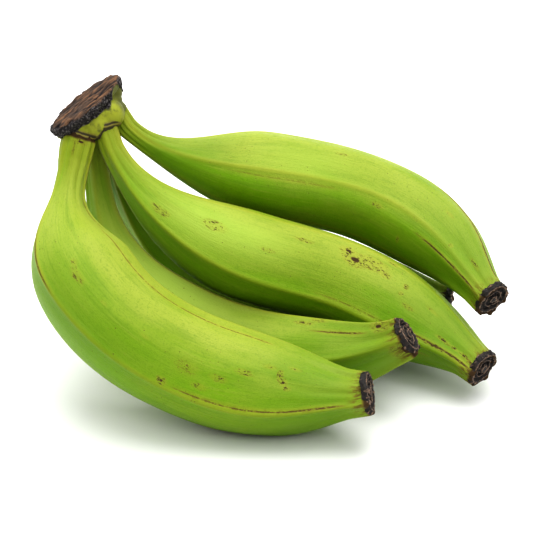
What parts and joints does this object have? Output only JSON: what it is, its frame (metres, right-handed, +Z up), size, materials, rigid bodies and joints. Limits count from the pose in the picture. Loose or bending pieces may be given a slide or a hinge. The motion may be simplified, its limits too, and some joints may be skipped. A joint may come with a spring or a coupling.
{
  "type": "hand of green plantains",
  "caption": "Hand of green plantains, curved ridged fingers with dried blossom ends, joined at a cut brown crown and lying on its bellies.",
  "frame": {"origin": "middle of the bounding box's bottom, on the surface that the hand lies on", "axes": "+X from the crown towards the blossom ends, +Y from the front finger towards the back ones, +Z up"},
  "size_m": [0.2528, 0.1784, 0.1541],
  "materials": {
    "plantain_skin": "smooth waxy green peel, semi-gloss, with faint lengthwise streaks, brown ridge lines and flecks",
    "dried_blossom": "matt dark brown, shrivelled remnant of the blossom",
    "crown_bark": "matt fibrous brown cut face with a dark crusty rim over olive green flesh"
  },
  "bodies": {
    "root": {"crown": "crown_bark", "front_plantain": "plantain_skin", "inner_plantain": "plantain_skin", "middle_plantain": "plantain_skin", "back_plantain": "plantain_skin", "under_plantain": "plantain_skin"}
  },
  "joints": []
}
